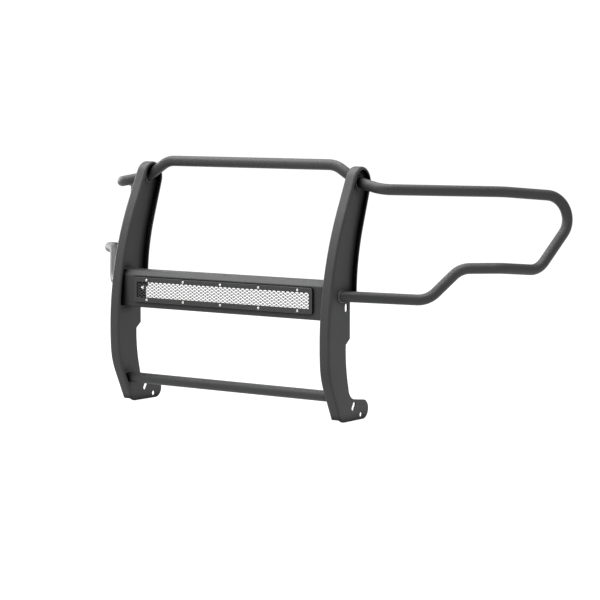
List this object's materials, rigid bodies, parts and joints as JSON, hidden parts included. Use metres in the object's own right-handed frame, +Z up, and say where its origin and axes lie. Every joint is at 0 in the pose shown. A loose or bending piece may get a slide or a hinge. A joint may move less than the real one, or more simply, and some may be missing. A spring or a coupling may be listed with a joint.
{
  "type": "vehicle front grille guard",
  "caption": "Front grille guard for a pickup truck: two plate uprights, tube cross members, wrap-around headlamp tubes and a mesh-covered light-bar crossbar.",
  "frame": {"origin": "middle of the guard's footprint in plan (centre of its box in X and Y), on the plane of the lowest points of its two feet", "axes": "+X across the vehicle to the vehicle's left (the viewer's right when facing the guard), +Y back towards the vehicle, +Z up"},
  "size_m": [1.9862, 0.7927, 0.9015],
  "materials": {
    "powder_coat": "textured satin black powder coat",
    "mesh_coat": "satin black powder coat on expanded mesh",
    "stainless": "bright stainless fastener",
    "zinc": "zinc-plated steel",
    "spacer_rubber": "matte black rubber"
  },
  "bodies": {
    "root": {"cover_frame": "powder_coat", "cover_mesh": "mesh_coat", "cover_rivet_nuts": "zinc", "cover_screws": "stainless", "cover_spacers": "spacer_rubber", "crossbar_back_plate_left": "powder_coat", "crossbar_back_plate_right": "powder_coat", "crossbar_shell": "powder_coat", "crossbar_weld_left": "powder_coat", "crossbar_weld_right": "powder_coat", "lower_tube": "powder_coat", "lower_tube_weld_left": "powder_coat", "lower_tube_weld_right": "powder_coat", "top_tube": "powder_coat", "top_tube_weld_left": "powder_coat", "top_tube_weld_right": "powder_coat", "upright_band_left": "powder_coat", "upright_band_right": "powder_coat", "upright_web_left": "powder_coat", "upright_web_right": "powder_coat", "wing_tube_left": "powder_coat", "wing_tube_lower_weld_left": "powder_coat", "wing_tube_lower_weld_right": "powder_coat", "wing_tube_right": "powder_coat", "wing_tube_upper_weld_left": "powder_coat", "wing_tube_upper_weld_right": "powder_coat"}
  },
  "joints": []
}
